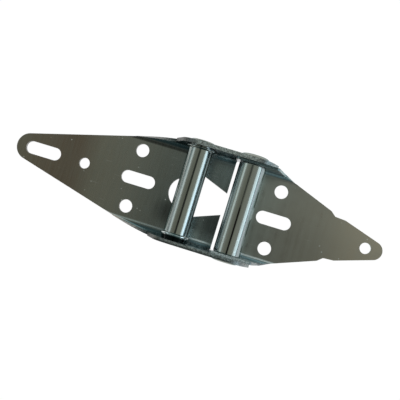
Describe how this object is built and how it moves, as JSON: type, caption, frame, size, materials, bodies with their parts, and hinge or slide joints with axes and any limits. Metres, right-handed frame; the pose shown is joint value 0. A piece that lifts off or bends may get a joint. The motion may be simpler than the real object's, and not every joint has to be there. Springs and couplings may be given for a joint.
{
  "type": "garage door hinge",
  "caption": "Garage door hinge with tapered, folded leaves that turn on a pivot tube, and a second tube between its flanges that holds a roller's stem.",
  "frame": {"origin": "on the pivot's axis, midway between the flanges; the backs of both leaves lie at Z = -14 mm", "axes": "+X along the hinge to the right leaf's tip, +Y along the pivot tube, +Z away from the door"},
  "size_m": [0.2077, 0.0576, 0.0235],
  "materials": {
    "plated_sheet": "zinc-plated sheet, satin",
    "plated_tube": "zinc-plated tube, bright"
  },
  "bodies": {
    "left_side": {"left_leaf": "plated_sheet", "pivot_tube": "plated_tube", "roller_tube": "plated_tube"},
    "right_side": {"right_leaf": "plated_sheet"}
  },
  "joints": [
    {"name": "leaf_pivot", "type": "hinge", "parent": "left_side", "child": "right_side", "pos_m": [0, 0, 0], "axis": [0, -1, 0], "range_deg": [0, 180]}
  ]
}
